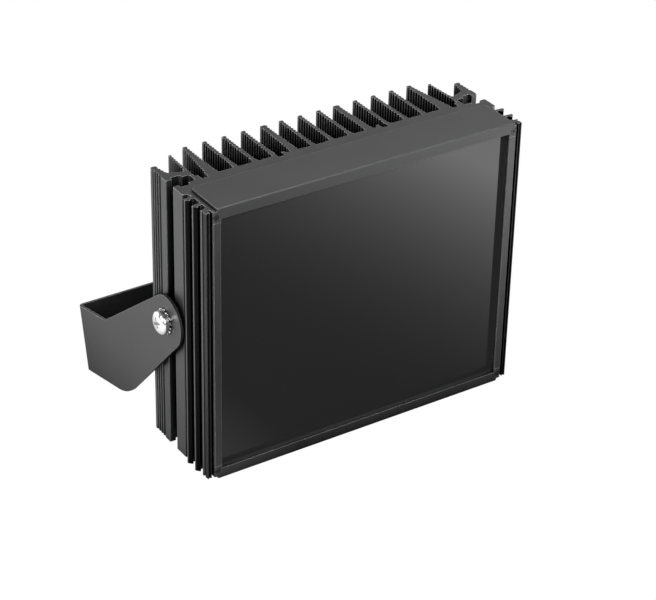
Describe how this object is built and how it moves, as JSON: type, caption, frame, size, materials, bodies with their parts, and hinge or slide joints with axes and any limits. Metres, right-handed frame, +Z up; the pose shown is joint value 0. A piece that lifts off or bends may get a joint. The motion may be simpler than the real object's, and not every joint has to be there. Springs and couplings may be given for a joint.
{
  "type": "infrared illuminator",
  "caption": "Infrared illuminator: finned aluminium housing with a dark front window, held by a folded bracket that slides along side slots and tilts.",
  "frame": {"origin": "middle of the bottom cap's underside, which the unit stands on", "axes": "+Z up, the window faces -Y, +X is to the right when the window is seen from the front"},
  "size_m": [0.261, 0.1693, 0.2],
  "materials": {
    "black_aluminium": "black anodised, extruded, satin",
    "cap_coating": "fine black powder coat",
    "bracket_coating": "fine black powder coat",
    "dark_window": "polished, black to the eye, clear to infrared",
    "seal_rubber": "black silicone rubber",
    "black_steel": "black oxide",
    "bright_plating": "bright nickel plate",
    "zinc_steel": "zinc plate",
    "pad_silicone": "soft grey thermal pad",
    "board_aluminium": "white solder mask on an aluminium board",
    "emitter_resin": "clear resin over the emitter",
    "lens_clear": "clear moulded acrylic",
    "board_green": "green solder mask",
    "moulded_black": "moulded black",
    "moulded_grey": "moulded grey",
    "can_aluminium": "drawn can",
    "gland_nylon": "black nylon, fine texture"
  },
  "bodies": {
    "housing": {"heatsink_body": "black_aluminium", "top_cap": "cap_coating", "bottom_cap": "cap_coating", "top_cap_seal": "seal_rubber", "bottom_cap_seal": "seal_rubber", "corner_screws": "black_steel", "front_window": "dark_window", "window_gasket": "seal_rubber", "thermal_pad": "pad_silicone", "led_board": "board_aluminium", "led_emitters": "emitter_resin", "lens_array": "lens_clear", "board_screws": "zinc_steel", "driver_board": "board_green", "driver_standoffs": "zinc_steel", "inductors": "moulded_black", "capacitors": "can_aluminium", "terminal_block": "moulded_grey", "board_link": "moulded_black", "gland_gasket": "seal_rubber", "gland_body": "gland_nylon", "gland_seal": "seal_rubber", "gland_cap_nut": "gland_nylon"},
    "pivot_carriage": {"slot_nuts": "zinc_steel", "pivot_screws": "bright_plating", "lock_washers": "bright_plating", "spacer_washers": "zinc_steel"},
    "bracket": {"bracket": "bracket_coating"}
  },
  "joints": [
    {"name": "carriage_slide", "type": "slide", "parent": "housing", "child": "pivot_carriage", "axis": [0, 0, 1], "range_m": [-0.085, 0.085]},
    {"name": "bracket_tilt", "type": "hinge", "parent": "pivot_carriage", "child": "bracket", "pos_m": [0, 0.0298, 0.1], "axis": [1, 0, 0], "range_deg": [-31, 91]}
  ]
}
